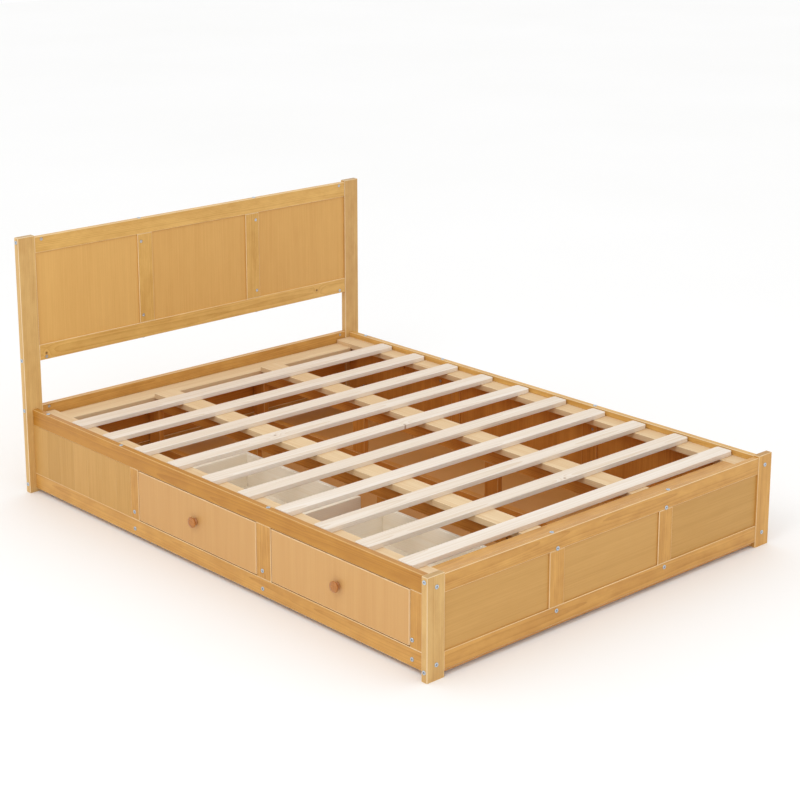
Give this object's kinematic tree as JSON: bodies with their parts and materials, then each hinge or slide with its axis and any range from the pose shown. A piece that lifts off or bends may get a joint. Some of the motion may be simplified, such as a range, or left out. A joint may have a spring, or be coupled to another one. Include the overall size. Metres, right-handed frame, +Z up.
{
  "type": "platform bed",
  "caption": "Low pine platform bed with framed head and foot boards, wooden slats and two front-knob storage drawers in one side.",
  "frame": {"origin": "on the floor, under the middle of the bed", "axes": "+X to the right seen from the foot, +Y towards the headboard, +Z up; the drawers open towards -X"},
  "size_m": [1.468, 1.963, 0.876],
  "materials": {
    "stained_frame": "clear satin lacquer over honey stain",
    "stained_rail": "clear satin lacquer over honey stain",
    "stained_panel": "clear satin lacquer over honey stain",
    "inner_wood": "thin stain, unlacquered",
    "raw_slat": "planed, unfinished",
    "raw_ledge": "planed, unfinished",
    "drawer_pine": "planed, thin stain",
    "base_board": "smooth hardboard face",
    "zinc_steel": "zinc plated"
  },
  "bodies": {
    "bed_frame": {"head_post_left": "stained_frame", "head_post_right": "stained_frame", "head_top_rail": "stained_rail", "head_middle_rail": "stained_rail", "head_stiles": "stained_frame", "head_panels": "stained_panel", "head_lower_rail": "stained_rail", "head_floor_rail": "stained_rail", "head_lower_panel": "inner_wood", "head_ledge": "raw_ledge", "foot_post_left": "stained_frame", "foot_post_right": "stained_frame", "foot_top_rail": "stained_rail", "foot_bottom_rail": "stained_rail", "foot_stiles": "stained_frame", "foot_panels": "stained_panel", "foot_ledge": "stained_rail", "left_top_rail": "stained_rail", "left_bottom_rail": "stained_rail", "left_stile_head": "stained_frame", "left_stile_middle": "stained_frame", "left_stile_foot": "stained_frame", "left_panel": "stained_panel", "right_top_rail": "stained_rail", "right_bottom_rail": "stained_rail", "right_stiles": "inner_wood", "right_panels": "inner_wood", "left_ledge": "raw_ledge", "right_ledge": "raw_ledge", "left_beam_top": "raw_ledge", "left_beam_web": "inner_wood", "left_beam_bottom": "inner_wood", "left_beam_posts": "inner_wood", "right_beam_top": "raw_ledge", "right_beam_web": "inner_wood", "right_beam_bottom": "inner_wood", "right_beam_posts": "inner_wood", "slats": "raw_slat", "bearer_head": "inner_wood", "bearer_middle": "inner_wood", "bearer_foot": "inner_wood", "runner_strips": "inner_wood", "base_sheets": "base_board", "post_bolts": "zinc_steel", "stile_bolts": "zinc_steel", "frame_bolts": "zinc_steel", "barrel_nuts": "zinc_steel"},
    "drawer_1": {"drawer_1_front": "stained_frame", "drawer_1_sides": "drawer_pine", "drawer_1_back": "drawer_pine", "drawer_1_bottom": "drawer_pine", "drawer_1_knob": "stained_frame", "drawer_1_knob_screw": "zinc_steel"},
    "drawer_2": {"drawer_2_front": "stained_frame", "drawer_2_sides": "drawer_pine", "drawer_2_back": "drawer_pine", "drawer_2_bottom": "drawer_pine", "drawer_2_knob": "stained_frame", "drawer_2_knob_screw": "zinc_steel"}
  },
  "joints": [
    {"name": "drawer_1_slide", "type": "slide", "parent": "bed_frame", "child": "drawer_1", "axis": [-1, 0, 0], "range_m": [0, 0.3]},
    {"name": "drawer_2_slide", "type": "slide", "parent": "bed_frame", "child": "drawer_2", "axis": [-1, 0, 0], "range_m": [0, 0.3]}
  ]
}
